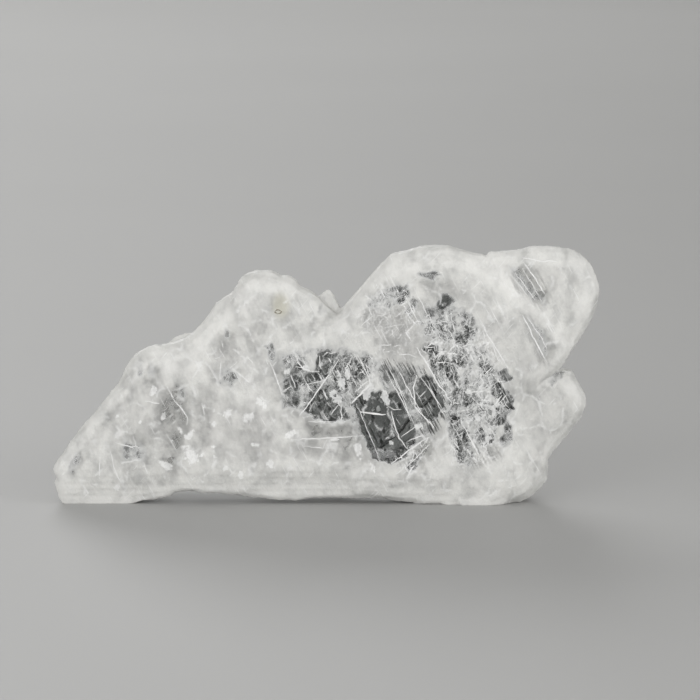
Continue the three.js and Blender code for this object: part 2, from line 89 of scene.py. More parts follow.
# Windows where the stone is clear: outline, how clear from 0 to 1, and how soft the edge is in mm.
WINDOWS = {
    "main": ([(6, 23.6), (9.5, 26.4), (12, 26.2), (13.4, 24.6), (15, 26.2), (17, 24.2), (19.9, 17.6),
        (20.6, 13.6), (18, 11.4), (14.6, 9.8), (11.4, 9.8), (9, 13), (7.6, 17.8)], 1, 0.8),
    "beside_main": ([(19.6, 22.8), (20.2, 28.8), (22.6, 29.4), (24.8, 26.4), (25.8, 22.4), (25.2, 19.4),
        (23.6, 18.4), (21.4, 20)], 1, 0.6),
    "middle_top": ([(-2.2, 30.4), (-1.6, 34.2), (2.4, 34.4), (2.2, 32), (0.6, 29), (-2, 27.4), (-4.6, 26.4),
        (-5.8, 28), (-4.2, 30)], 0.95, 0.7),
    "middle_left": ([(-9.8, 28.6), (-7, 30.6), (-5.6, 29.4), (-4.2, 28), (-5.4, 22), (-9.6, 22)], 0.84, 1.6),
    "middle_right": ([(2.2, 34.2), (5.8, 34.2), (9.2, 31.8), (12.2, 30.4), (10.4, 27.8), (5.6, 25),
        (4.2, 22.8), (2.4, 23.4), (1, 26), (0.6, 28.6)], 0.8, 1.2),
    "middle_low": ([(-4.8, 21.8), (-2.4, 25.8), (0.8, 27.2), (3.4, 23.6), (5.4, 19.2), (-2.6, 18.8)],
        0.96, 0.9),
    "middle_all": ([(-11.4, 32), (-9, 34.6), (-2, 35.4), (6.4, 35.2), (14, 31.6), (21, 31.4), (24, 17),
        (19, 11), (9, 12), (4.6, 19), (-4.4, 19), (-8, 23.4)], 0.55, 1.8),
    "left_of_middle": ([(-13.8, 35.4), (-12, 36.4), (-10.4, 34), (-10.6, 31.8), (-12.6, 32.4)], 0.66, 0.9),
    "dark_1": ([(24.4, 45), (26, 47.2), (28, 46.6), (27.8, 44.2), (25.4, 43.4)], 0.9, 1),
    "dark_2": ([(27.4, 37.4), (29, 40.6), (31.2, 41), (32, 38), (30.4, 35.8), (28, 35.8)], 0.66, 0.8),
    "dark_3": ([(21.4, 35.6), (24.4, 36.2), (25.4, 33), (23.6, 30.6)], 1, 0.5),
    "dark_4": ([(24.2, 34.4), (26.8, 34), (29.9, 28), (28.5, 25.8), (26, 28.6), (24, 31.2)], 1, 0.8),
    "dark_5": ([(31.4, 42.8), (32.7, 42.6), (33.6, 40.2), (32.2, 39.8)], 0.62, 0.6),
    "crackled": ([(20.6, 44), (29, 45.4), (34.2, 40), (37.8, 31.4), (38.6, 20), (34.4, 10), (28.6, 10.6),
        (26.8, 17), (25.4, 24), (22.4, 31)], 0.62, 1.8),
    "right_1": ([(37.6, 28), (39.3, 31.2), (41.4, 29), (39.5, 27.2)], 0.8, 0.5),
    "right_2": ([(36.4, 27.6), (38.3, 28.2), (41, 24.4), (41.8, 21.4), (39.6, 21.6), (36.6, 24.4)],
        0.92, 0.6),
    "right_3": ([(39.4, 19.2), (41.4, 18.2), (41.2, 14), (40.2, 11.6), (38.2, 14.4)], 0.66, 0.8),
    "right_4": ([(36.6, 23.8), (41, 21.4), (40.6, 18.6), (37, 18)], 0.78, 0.8),
    "low_1": ([(28, 17.2), (31.2, 17.6), (34, 12.4), (31.2, 8.2), (28.6, 10)], 0.82, 1),
    "low_2": ([(31.8, 17.4), (36.2, 17), (37.4, 13.4), (34, 12.6)], 0.8, 0.8),
    "low_3": ([(16.3, 8.6), (18.8, 12), (21.4, 12.6), (21, 9.4), (18.5, 7.2)], 0.74, 1),
    "high_left": ([(8.6, 45), (12.6, 48.6), (17.7, 49.2), (18.6, 46), (15, 43.8), (10.8, 41.8)], 0.62, 1),
    "high_slant": ([(16.3, 42.8), (19.6, 46.6), (20.8, 45.8), (18.5, 41.8)], 0.5, 0.7),
    "high_top": ([(20, 51.2), (23.5, 52.7), (26, 51.4), (23.5, 50.2)], 0.78, 0.8),
    "ear": ([(39.8, 52.2), (41.4, 52.8), (44.8, 49.8), (47.6, 46.4), (47.8, 44.8), (45.4, 45.6), (42.4, 47.6),
        (40.6, 50)], 0.64, 1.8),
    "ear_streak": ([(43.4, 43.4), (46.5, 41), (48.9, 37.1), (48.5, 32.8), (47.2, 34), (44.9, 39.4)],
        0.6, 0.9),
    "bump": ([(48.2, 27), (50.6, 30.2), (53.8, 30), (53, 28.4), (50.8, 27.2), (49.8, 26.2)], 0.58, 0.6),
    "left_low": ([(-45.2, 13.2), (-44.2, 15), (-41.8, 14.8), (-39.6, 14.6), (-39.6, 10.4), (-40.8, 8.8),
        (-43, 9.2), (-45, 11)], 0.52, 1.6),
    "left_edge": ([(-56.9, 7.8), (-56.4, 10.4), (-55, 12.2), (-53.9, 11.2), (-54.2, 9), (-55.4, 7)],
        0.58, 1.3),
    "left_high_1": ([(-41.8, 28.4), (-41.2, 31.8), (-40, 31.4), (-39.8, 28.2)], 0.56, 1.2),
    "left_high_2": ([(-39.2, 28.2), (-38.4, 31.8), (-37, 31.6), (-37.4, 28.6)], 0.56, 1.2),
    "left_mark": ([(-31.9, 23.4), (-31.6, 26.8), (-30.6, 26.8), (-30.2, 23.2)], 0.54, 1),
    "lobe_1": ([(-22.8, 37.2), (-22, 39.6), (-20.6, 39.2), (-20.8, 37)], 0.48, 1.2),
    "lobe_2": ([(-23.6, 30.4), (-22, 31.8), (-20, 30.4), (-18.6, 28.2), (-20.6, 26.6), (-23.4, 27)],
        0.6, 1.2),
    "tooth": ([(-1.5, 42), (-1.9, 44.2), (-0.3, 46.4), (0.6, 46.2), (2, 43.8), (2.4, 41.8)], 0.34, 0.9),
    "back_blade": ([(-36.8, 35.8), (-34, 38), (-28.8, 39.6), (-28.8, 38.2), (-33, 36.4)], 0.44, 0.8),
}

# Veiled places, half clear and smooth: outline, how clear, and how soft the edge is
VEILS = {
    "main_blade": ([(10, 38), (16, 38), (21, 45), (32, 44), (41, 30), (41.6, 12), (30, 7), (12, 7), (3, 18),
        (5, 30)], 0.16, 3),
    "middle": ([(-12, 34), (-3, 35.6), (9, 35), (13, 30), (8, 19), (-4, 17.6), (-11, 23)], 0.28, 1.6),
    "band": ([(-4.6, 18.8), (7.6, 19), (9, 15.6), (-2.6, 15.2)], 0.36, 0.7),
    "under_band": ([(1, 15), (8.6, 18), (12, 9.6), (9, 8.6), (5, 10)], 0.46, 1.8),
    "under_band_left": ([(-9.4, 19), (-7, 15.6), (4, 15), (4, 11), (-3.6, 11.6)], 0.24, 1.6),
    "upper_main": ([(8, 44), (20, 46), (24.6, 44), (25, 36), (21, 32), (12.6, 32.6), (10.6, 37)], 0.36, 1.6),
    "mid_left": ([(-22.6, 24), (-17.6, 21.6), (-12, 15), (-10.4, 11), (-17, 8.6), (-22, 11.4), (-23.4, 17)],
        0.22, 2),
    "wedge": ([(-50, 15), (-42, 26.6), (-37.6, 28.4), (-37.4, 16), (-46, 9)], 0.16, 2),
    "near_window": ([(16.4, 28), (19.8, 29.4), (22.2, 24.8), (23.4, 18.4), (19.6, 17.4)], 0.36, 1),
    "beside_low": ([(18, 8.8), (20.6, 16.4), (24.4, 17.8), (25, 13.4), (21.6, 8.4)], 0.42, 1.6),
    "wedge_edge": ([(-56, 13), (-51.4, 20.4), (-45.6, 27.6), (-43, 32), (-39, 34), (-38.8, 29.4), (-44, 22),
        (-50.6, 13)], 0.26, 1.6),
    "left_of_band": ([(-12, 13.4), (-3, 14.6), (-3, 11), (-10, 10.4)], 0.16, 1.6),
    "high": ([(20, 50.4), (28, 50), (30, 46.6), (22.6, 45.4)], 0.3, 1.4),
    "high_left": ([(6.8, 43), (12, 50), (19.6, 49.8), (21, 44), (13, 39.6)], 0.18, 1.6),
    "ear": ([(42.4, 54), (51.4, 53.4), (50.6, 49), (47.6, 45), (42, 47.4)], 0.24, 1.6),
    "ear_left": ([(39.4, 53), (44, 53.4), (49, 47), (47.4, 44.4), (42.6, 46.4), (39.8, 50.4)], 0.58, 1.4),
    "under_ear": ([(42.2, 43.6), (46.4, 42.8), (50.6, 36), (50, 33), (46.8, 31.4)], 0.3, 1.2),
    "right": ([(36, 44), (39, 42), (42, 34), (40.6, 30), (37, 37)], 0.1, 1.6),
    "left_clear": ([(-37.4, 22), (-35.6, 25.4), (-32.5, 26.6), (-29.8, 23.5), (-28.8, 18), (-30.6, 12.4),
        (-33, 8.6), (-36, 9.6), (-36.2, 14)], 0.48, 2),
    "left_clear_2": ([(-29.8, 24.6), (-24.8, 22.6), (-24.4, 13), (-28, 12.4), (-29.6, 17)], 0.32, 1.6),
    "left_3": ([(-28.4, 27), (-23.6, 27), (-24, 22.8), (-27.8, 23.2)], 0.28, 1.2),
    "left_4": ([(-24, 14.4), (-20.4, 13.4), (-20.8, 9.8), (-23.8, 10.6)], 0.26, 1.4),
    "left_5": ([(-43.6, 22.6), (-38.4, 28), (-35.4, 26.6), (-36.6, 23), (-41, 19)], 0.18, 1.6),
    "left_6": ([(-46.6, 16), (-43, 16.4), (-38.4, 14), (-38.8, 9), (-44, 8.4)], 0.34, 1.4),
    "left_7": ([(-57.2, 7.6), (-56.2, 11.6), (-54.2, 13), (-53.2, 10.6), (-55.2, 6.4)], 0.42, 1),
    "left_8": ([(-48.6, 18.4), (-46, 20.4), (-44.8, 16.6), (-46.8, 14.4)], 0.26, 1),
    "left_9": ([(-42.6, 27), (-41.6, 32.4), (-36.4, 32.6), (-36.8, 27.4)], 0.34, 1.2),
    "lobe_1": ([(-24, 38), (-19.6, 38.6), (-18.4, 31), (-23.6, 31.6)], 0.34, 1.2),
    "lobe_2": ([(-26, 31), (-17.6, 31), (-16.6, 27.4), (-25.6, 26.6)], 0.32, 1.4),
    "lobe_3": ([(-17, 42), (-14.4, 42), (-12.4, 38), (-15.6, 37.4)], 0.24, 0.5),
    "lobe_4": ([(-9, 40), (-6.6, 40.4), (-4.6, 36), (-8, 36)], 0.22, 0.5),
    "lobe_5": ([(-2.4, 43), (1.4, 42), (1, 38.4), (-4, 39.4)], 0.26, 1.4),
    "lobe_6": ([(-18.6, 38), (-16.2, 39.4), (-13, 33.6), (-15.6, 32)], 0.12, 0.8),
    "brown": ([(-12.6, 43.2), (-11.6, 47.4), (-9.2, 47.6), (-7, 42), (-9.8, 40.8)], 0.14, 1),
    "right_side": ([(43, 40), (48, 30), (57, 28), (52, 6), (42.4, 8), (42, 30)], 0.12, 2.5),
    "bump": ([(47, 25.6), (50.4, 31), (55, 30.4), (55.4, 26), (51, 24)], 0.16, 1.4),
}

# Lumps and bands of thicker white, and two bands of painted light along the bottom edge: outline, how thick,
# and how soft the edge is
MILK_AND_PAINTED_LIGHT = {
    "left_lump": ([(-36.5, 31), (-34.5, 33.6), (-29.5, 33.8), (-27.6, 31.4), (-30.5, 29), (-35, 28.4)],
        1, 1.2),
    "middle_lump_1": ([(-18.2, 27), (-15, 27.6), (-13.4, 24), (-15.2, 21.4), (-17.6, 22.8)], 0.8, 0.9),
    "middle_lump_2": ([(-13.8, 22.6), (-11.2, 21.2), (-10.6, 18.2), (-13.4, 17.6), (-14.8, 20.2)], 0.8, 0.8),
    "middle_lump_3": ([(-20.4, 20.8), (-17.8, 20.6), (-17.4, 17.6), (-20.2, 17.2)], 0.6, 0.9),
    "in_window": ([(-5.6, 33.8), (-1.6, 34.2), (-1.2, 30.4), (-3.2, 29.4), (-5.4, 31)], 0.42, 0.6),
    "above_window": ([(5.6, 26.4), (8.8, 30.6), (11.6, 29.8), (12.6, 26.6), (9.8, 24.4), (7, 24)],
        0.35, 0.8),
    "ear_band": ([(33.6, 53.8), (36, 54.8), (45, 46.4), (53.8, 36.4), (52.8, 33.6), (44.4, 43)], 0.8, 1.3),
    "wall": ([(28.4, 47.4), (31.2, 47.2), (43.4, 24.8), (42.6, 20.6), (41.2, 26.8)], 0.4, 0.9),
    "crescent": ([(32.8, 14.2), (35.4, 11.4), (38.4, 11), (40.4, 14.6), (41.6, 13), (40.8, 8.6), (36, 8.2),
        (32.4, 11.4)], 0.6, 0.7),
    "right_of_window": ([(21, 5), (31, 6), (28.6, 9), (26.4, 15.8), (24.8, 16), (22.4, 9.6)], 0.4, 1.4),
    "in_crackle": ([(27.4, 42.2), (28.4, 43.6), (30, 43), (29.6, 41.4), (28.2, 41)], 0.6, 0.7),
    # The two bottom bands are painted light: they whiten the stone along its bottom edge, standing in for
    # light that the underside doesn't get.
    "bottom_left_painted_light": ([(-58.4, 0), (-57.6, 3.4), (-48, 3), (-36.4, 4), (-33.6, 2), (-44, 0)], 0.6, 1.4),
    "bottom_right_painted_light": ([(-30, 1.4), (-10, 1.2), (6, 0.8), (18, 0.4), (42, -0.4), (48.4, 5), (45, 6), (40, 3.4),
        (20, 3.4), (0, 3.6), (-30, 4.2)], 0.6, 1.6),
    "lobe_body": ([(-19.6, 39.6), (-17, 46), (-12.6, 46.4), (-12.2, 40.6), (-15.4, 38.6)], 0.5, 1.6),
    "lobe_top": ([(-20, 46), (-15, 51.4), (-10, 50.4), (-6.4, 48.8), (-8.8, 46.8), (-13, 47.4), (-16, 45)],
        0.6, 1.4),
    "main_top": ([(11.6, 52), (20, 56.8), (34.4, 55.2), (33, 52.4), (20.4, 53.2), (14, 50)], 0.6, 1.2),
}

# Where clear and milky streaks lie side by side along the steep cleavage, with how strongly
STREAKED = {
    "main": ([(9.6, 32), (14.4, 33.4), (20, 31.4), (24.6, 31.6), (27.4, 27), (26.4, 18), (22.8, 14.6),
        (19.4, 16.6), (16.8, 23), (12.4, 28)], 1),
    "under_main": ([(14.4, 10), (22.6, 16.4), (25, 13.6), (18.4, 6.8)], 0.6),
    "low_right": ([(27.6, 21), (37, 22), (39, 11), (31, 7), (27.4, 12)], 0.6),
    "ear": ([(40, 53.2), (46.4, 52.6), (50, 46), (47.6, 43), (41, 48)], 0.55),
    "under_ear": ([(42.4, 43.2), (45.6, 42.6), (50, 35.6), (49, 31.4), (46.6, 31.4)], 0.55),
    "middle": ([(-10.4, 34.4), (-2, 34.6), (-5, 24), (-10, 24.4)], 0.45),
    "lobe": ([(-14, 48), (-5, 47), (-4, 35), (-16, 31), (-22, 40)], 0.22),
}

# Where the stone is crazed with small bright cracks, with how strongly
CRAZED = {
    "main_right": ([(20.6, 42.2), (25, 43), (29.6, 44), (35, 40), (38.8, 31), (39.4, 19), (35.6, 9),
        (27.6, 9.6), (26.6, 17), (26.4, 25), (22.4, 31)], 1),
    "middle": ([(-10, 34), (-3, 34.8), (8, 35), (14, 31), (9.6, 26), (4.4, 19.2), (-4, 19), (-10.6, 24.4)],
        0.45),
    "middle_crumbs": ([(1.6, 27), (3.4, 34.6), (9, 34.8), (13, 30.4), (8.4, 26.6), (3.4, 23.4)], 0.85),
    "high_left": ([(6, 42), (12, 49.4), (19, 50), (21, 42), (12, 38)], 0.7),
    "under_main": ([(14, 10), (23.4, 16.4), (24.6, 13.4), (18, 6.6)], 0.8),
    "upper": ([(6, 33.4), (8, 41), (19, 43), (23, 37), (21, 32), (12, 32.6)], 0.4),
    "lobe_low": ([(-24, 36), (-16, 33), (-8, 37.4), (-3, 37), (-6, 33.6), (-20, 26), (-25, 27)], 0.3),
    "left": ([(-45.4, 13), (-42.4, 14.4), (-39.6, 12.4), (-40, 9.4), (-43, 8.8)], 0.6),
}

# White flecks at the surface: middle, half length, half width, and the way that they point
FLECKS = [
    (-35.7, 19.9, 1, 0.7, 80), (-31.8, 16.8, 1.2, 0.5, -70), (-29.9, 16, 1.5, 0.9, 50),
    (-29.5, 11.3, 2.4, 1.6, -38), (-35.2, 9.1, 1.6, 0.8, -25), (-24.8, 18.3, 1.1, 0.9, 60),
    (-24.3, 13.3, 0.9, 0.5, 40), (-27, 11.4, 0.6, 0.5, 0), (-18.5, 6.8, 0.9, 0.6, 70),
    (-22.2, 8.3, 0.9, 0.5, 30), (-24.4, 10.9, 0.5, 0.5, 0), (-33.8, 14.6, 0.4, 0.3, 0),
    (-37.7, 25.6, 1.3, 0.8, 70), (-26.6, 22, 0.7, 0.5, 20), (-21.6, 20.4, 1.2, 0.9, 40),
    (-16.7, 19.8, 1.6, 1, 30), (-14.4, 23.3, 1.7, 0.9, -50), (-12.1, 9.4, 1.2, 0.8, -60),
    (-15.4, 13.7, 1.1, 0.4, 20), (7.1, 12.2, 0.9, 1.7, 10), (10.3, 8.6, 0.5, 1.6, 25), (1.9, 15, 1, 0.4, 0),
    (-7.6, 16.2, 1.3, 0.6, 35), (-41, 18.6, 0.5, 0.4, 0), (-45.7, 20, 0.7, 0.4, 60), (8.8, 24.6, 1.2, 1, 45),
    (9.8, 26.3, 1.5, 1.1, 35), (2.7, 23.8, 1.2, 1, 70), (-4.6, 31, 0.8, 0.5, 10), (-8.4, 30, 1.3, 0.6, 20),
    (13, 24.2, 2.4, 0.9, -64), (20.1, 17.6, 0.9, 0.8, 60), (21, 17.9, 0.5, 1, 20),
    (13.6, 15.2, 0.9, 0.35, 15), (14.6, 14.2, 0.5, 0.5, 0), (3.4, 27.8, 2, 0.9, -72),
    (1.6, 25.2, 0.9, 0.6, 50), (35.4, 14.6, 1.3, 0.9, 60), (31.2, 25.6, 0.9, 0.7, 0),
    (25.4, 33.8, 1, 0.5, 20), (4.9, 29.6, 0.6, 1.3, 12), (-46, 4, 1.2, 0.8, 30), (24.3, 36.2, 1.4, 0.5, 5),
    (36.8, 20.4, 1, 0.6, -60), (33.8, 19.6, 1.2, 0.6, -50),
]

# Cracks seen edge on: thickness, how deep it goes into the stone, and its line along the face
CRACKS = [
    (0.34, 3, [(-5.7, 20.3), (-2.6, 24.4), (1.1, 29.8)]), (0.16, 3, [(1.1, 29.8), (2.9, 32.8)]),
    (0.2, 2, [(7.1, 33.5), (8.4, 31), (9.8, 28.2)]), (0.45, 2.5, [(5.7, 22.9), (10.2, 27.5)]),
    (0.26, 2, [(6.4, 25.4), (9.2, 27.9)]), (0.44, 2, [(7.6, 21), (10.6, 20.6), (13.2, 20.5)]),
    (0.15, 3, [(6.7, 22.9), (9.2, 16.9), (12.1, 9.9)]), (0.22, 3, [(13.2, 30.4), (18.9, 19.1)]),
    (0.2, 2.5, [(14, 30.7), (19.6, 18)]), (0.26, 2.5, [(16.1, 30), (21, 20.8)]),
    (0.16, 2, [(14.8, 29.4), (17.6, 23.6)]), (0.16, 2, [(16.4, 29.6), (17.9, 26.1)]),
    (0.28, 1.6, [(14.4, 21.2), (15.3, 17.6), (16.1, 15.2), (18.2, 12.7)]),
    (0.34, 1.8, [(14.4, 9.5), (18.4, 12.6), (22.7, 15.5)]), (0.2, 1.8, [(17.9, 8.8), (22.8, 13.8)]),
    (0.18, 1.5, [(18.6, 9.6), (19.4, 11.4), (19, 13.4)]), (0.2, 1.4, [(16.6, 15.4), (19.9, 17.9)]),
    (0.18, 1.4, [(13.4, 22.6), (14.9, 21.6), (16.6, 21.7)]),
    (0.36, 1.6, [(-6.2, 32.1), (-4.8, 30.7), (-3.4, 30)]), (0.24, 1.5, [(-1.3, 33.5), (-1, 30.4)]),
    (0.3, 2, [(-12.1, 31.8), (-9.5, 25.4)]), (0.24, 1.5, [(-9.3, 25.4), (-7.6, 26.8)]),
    (0.24, 1.5, [(-7.6, 29.3), (-6.5, 26.5)]), (0.22, 1.5, [(-3.4, 30), (-1.3, 30)]),
    (0.26, 1.2, [(-7.6, 14.8), (-0.6, 15.2), (8.8, 15.7)]), (0.2, 1.2, [(-3.8, 18.9), (3.6, 18.9)]),
    (0.22, 1.2, [(-4.8, 13.4), (-0.6, 13.1), (0.3, 14.8)]), (0.22, 1.2, [(3.6, 22.8), (3.4, 19.1)]),
    (0.22, 2.5, [(20.6, 29.2), (26.1, 21)]), (0.16, 2.5, [(22.3, 28), (25.8, 20.6)]),
    (0.34, 2, [(20, 29.2), (19.4, 26.5), (19.6, 22.2), (23.8, 17.5)]),
    (0.22, 1.4, [(17.9, 14.4), (21.5, 16)]), (0.3, 2, [(29.6, 19.1), (33.8, 11.3)]),
    (0.2, 2, [(30.7, 17.1), (33.4, 11.7)]), (0.34, 2, [(20, 35.4), (25, 26.8), (27.7, 23)]),
    (0.24, 1.4, [(33.8, 40.8), (37, 35.6), (40, 30.7)]), (0.2, 1.2, [(17.7, 38.5), (20, 41.2)]),
    (0.24, 1.4, [(17.3, 46.8), (20.6, 40.2)]), (0.18, 1.2, [(19.4, 48.4), (22.4, 42.4)]),
    (0.26, 1.5, [(-34, 24.8), (-30.3, 19.9), (-30.5, 18)]), (0.2, 1.4, [(-34.8, 26.6), (-33.3, 24)]),
    (0.26, 1.2, [(-39.6, 23.3), (-36.3, 22.9)]), (0.2, 1.2, [(-27.2, 22.9), (-26.5, 20.3)]),
    (0.2, 1.2, [(-47.4, 12.4), (-46.6, 8.6), (-45.1, 5.3)]), (0.2, 1.2, [(-49.6, 10.9), (-49.9, 6)]),
    (0.2, 1.2, [(-23, 31.9), (-23.3, 28.1)]), (0.26, 1.2, [(-20.4, 30.7), (-16.7, 27.4)]),
    (0.2, 1.5, [(41.5, 51.6), (43.8, 48.5), (45.9, 45.6)]),
    (0.3, 1.5, [(43.1, 54), (45.4, 51.1), (48, 46.9)]), (0.16, 1.5, [(40.8, 50.9), (44.4, 46.4)]),
    (0.16, 1.5, [(43, 52.6), (46.8, 46.6)]), (0.3, 1.5, [(43.1, 42.5), (45.4, 37.8), (48.5, 31.8)]),
    (0.18, 1.5, [(44.1, 42), (47.4, 37.3), (48.2, 35.2)]),
    (0.3, 1.2, [(43.1, 54.8), (47, 54.2), (50.5, 54)]), (0.2, 1, [(54.2, 48), (55.4, 45.4)]),
]
CRACK_STEP = 0.9  # they waver a little every so often, in mm
CRACK_WANDER = 0.07
CRACK_PROUD = 0.03  # how far they stand out of the open surface, in mm
BACK_CRACKS = 70
BACK_THICKNESS = (0.14, 0.34)  # from and to, in mm, like the sizes below
BACK_DEPTH = 2.0
BACK_LENGTH = (2.5, 9)
WEB_THICKNESS = (0.1, 0.24)
WEB_DEPTH = 1.2
WEBS_PER_MM2 = {-1: 0.6, 1: 0.4}  # in a fully crazed place, on the front and on the back
FLAKES_PER_MM2 = 2.6
FLAKY_WINDOWS = ("main", "beside_main", "ear", "ear_streak")
WINDOW_FLAKES = 0.12  # how densely they lie there, as a share
FLAKE_DEPTHS = (0.2, 4.0)  # how far under the front or back they lie
FLAKE_SIZES = (0.15, 0.55)
FLAKE_THICKNESS = (0.05, 0.12)
FLAKE_CORNERS = ((-1, -1), (0.1, -1.15), (1, -1), (1.1, 0.2), (1, 1), (-0.2, 1.1), (-1, 1), (-1.1, 0))

BROWN = (np.array((-9.8, 44.4)), 2.6, 3.2)  # a faint rusty stain: middle, and reach both ways
SPECK = (-10.3, 43.1)  # a dark ring-shaped speck in it
SPECK_RINGS = 22
SPECK_SIDES = 8


# ---- Noise and distances ----

class Noise:
    """Seeded gradient noise on arrays of points, from about -1 to 1."""

    SIZE = 256

    def __init__(self, seed):
        draw = np.random.default_rng(seed)
        self.order = np.tile(draw.permutation(self.SIZE), 2)
        slopes = draw.normal(size=(self.SIZE, 3))
        self.slopes = slopes / np.linalg.norm(slopes, axis=1)[:, None]

    def __call__(self, points):
        cell = np.floor(points).astype(int)
        inside = points - cell
        ease = inside ** 3 * (inside * (inside * 6 - 15) + 10)
        total = np.zeros(len(points))
        for corner in range(8):
            step = np.array([corner & 1, corner >> 1 & 1, corner >> 2 & 1])
            ix, iy, iz = ((cell + step) % self.SIZE).T
            slope = self.slopes[self.order[self.order[self.order[ix] + iy] + iz]]
            weight = np.prod(np.where(step, ease, 1 - ease), axis=1)
            total += weight * np.einsum("ij,ij->i", slope, inside - step)
        return total * 1.7

    def layers(self, points, octaves=3, gain=0.5):
        """Several octaves added up."""
        total, size = np.zeros(len(points)), 1.0
        for octave in range(octaves):
            total += size * self(points * 2.03 ** octave + 17.3 * octave)
            size *= gain
        return total


def smoothstep(low, high, value):
    t = np.clip((value - low) / (high - low), 0, 1)
    return t * t * (3 - 2 * t)


def heading(angle):
    return np.array([math.cos(angle), math.sin(angle)])


def outside_by(points, outline):
    """How far each (x, z) point lies outside an outline; negative inside."""
    near = np.full(len(points), np.inf)
    inside = np.zeros(len(points), bool)
    corners = np.array(outline, float)
    for start, end in zip(corners, np.roll(corners, -1, axis=0)):
        side = end - start
        away = points - start
        t = np.clip(away @ side / (side @ side), 0, 1)
        near = np.minimum(near, np.linalg.norm(away - t[:, None] * side, axis=1))
        crosses = (start[1] > points[:, 1]) != (end[1] > points[:, 1])
        with np.errstate(divide="ignore", invalid="ignore"):
            at = start[0] + (points[:, 1] - start[1]) * side[0] / side[1]
        inside ^= crosses & (points[:, 0] < at)
    return np.where(inside, -near, near)


# ---- Meshes ----

def add_object(data):
    """Places a mesh, a light or a camera in the scene."""
    placed = bpy.data.objects.new(data.name, data)
    bpy.context.scene.collection.objects.link(placed)
    return placed


def vertex_arrays(mesh):
    """The mesh's points and normals."""
    arrays = []
    for source, name in ((mesh.vertices, "co"), (mesh.vertex_normals, "vector")):
        values = np.empty(len(mesh.vertices) * 3, np.float32)
        source.foreach_get(name, values)
        arrays.append(values.reshape(-1, 3).astype(float))
    return arrays


def set_attribute(mesh, name, values):
    layer = mesh.attributes.new(name, "FLOAT", "POINT")
    layer.data.foreach_set("value", np.asarray(values, np.float32))


def joined_rings(rings, sides, first=0, closed=False):
    """Faces from each ring of vertices to the next, and from the last to the first if closed."""
    faces = []
    for ring in range(rings if closed else rings - 1):
        here, there = first + ring * sides, first + (ring + 1) % rings * sides
        for k in range(sides):
            after = (k + 1) % sides
            faces.append((here + k, here + after, there + after, there + k))
    return faces


class Shards:
    """Many small closed pieces gathered into one mesh, in mm until it is made."""

    def __init__(self):
        self.points = []
        self.faces = []

    def add(self, points, faces):
        first = len(self.points)
        self.points += [tuple(p) for p in points]
        self.faces += [tuple(first + k for k in face) for face in faces]

    def mesh(self, name):
        mesh = bpy.data.meshes.new(name)
        mesh.from_pydata((np.array(self.points) * MM).tolist(), [], self.faces)
        mesh.update()
        return mesh


# ---- The stone ----

def welded_copy(node):
    """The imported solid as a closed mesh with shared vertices."""
    shape = bmesh.new()
    shape.from_mesh(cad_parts[node].data)
    bmesh.ops.remove_doubles(shape, verts=shape.verts, dist=1e-7)
    mesh = bpy.data.meshes.new("welded")
    shape.to_mesh(mesh)
    shape.free()
    return mesh


def remeshed(mesh, voxel):
    """The same shape in small even faces."""
    piece = add_object(mesh)
    remesh = piece.modifiers.new("voxels", "REMESH")
    remesh.mode = "VOXEL"
    remesh.voxel_size = voxel
    graph = bpy.context.evaluated_depsgraph_get()
    fine = bpy.data.meshes.new_from_object(piece.evaluated_get(graph))
    bpy.data.objects.remove(piece)
    return fine


def calmed(mesh, values, weight, rounds):
    """The values evened out between neighbours, each by its own weight."""
    ends = np.empty(len(mesh.edges) * 2, np.int32)
    mesh.edges.foreach_get("vertices", ends)
    first, second = ends.reshape(-1, 2).T
    count = np.bincount(ends, minlength=len(values))
    for _ in range(rounds):
        total = np.bincount(first, values[second], len(values))
        total += np.bincount(second, values[first], len(values))
        values = values + weight * (total / count - values)
    return values


def distance_to(points, chosen):
    """How far each place on the broad face is from the nearest chosen one."""
    tree = KDTree(int(chosen.sum()))
    for k, (x, z) in enumerate(points[chosen]):
        tree.insert((x, z, 0), k)
    tree.balance()
    return np.array([tree.find((x, z, 0))[2] for x, z in points])


def cover(flat, places, grow=0.0):
    """How strongly places with (outline, strength, softness) cover each point."""
    total = np.zeros(len(flat))
    for outline, strength, soft in places:
        total = np.maximum(total, strength * smoothstep(soft, -soft, outside_by(flat, outline) - grow))
    return total


def fleck_cover(flat, warp):
    """Above a half on a white fleck."""
    most = np.zeros(len(flat))
    for x, z, long, wide, turn in FLECKS:
        away = flat + 0.5 * warp - (x, z)
        angle = math.radians(turn)
        along = np.abs(away @ heading(angle)) / long
        across = np.abs(away @ (-math.sin(angle), math.cos(angle))) / wide
        most = np.maximum(most, 1 - 0.5 * np.maximum(along + 0.45 * across, across + 0.3 * along))
    return most


def with_edge(places, soft):
    """The (outline, strength) places with one softness for all."""
    return [(outline, strength, soft) for outline, strength in places.values()]


def edge_cut(mm, normals, facing, rim, grain):
    """How far each point is cut back where the edges are broken, in mm."""
    # broken edges part into sheets that lie along the broad face
    sheet = mm[:, 1] / SHEET + 0.35 * grain(mm * 0.12)
    layer = np.column_stack([mm[:, 0] * 0.22, np.floor(sheet) * 5.7, mm[:, 2] * 0.22])
    ledge = (0.5 + 0.5 * grain.layers(layer, 2)) * smoothstep(0.45, 0.2, facing)
    ledge *= smoothstep(-0.7, 0.0, normals[:, 2])
    lump = 1 - np.abs(grain.layers(mm * 0.5 + 5, 4, 0.6))
    return LEDGE_DEPTH * ledge + LUMP_DEPTH * rim * (lump - 0.5) - OUTWARD * rim


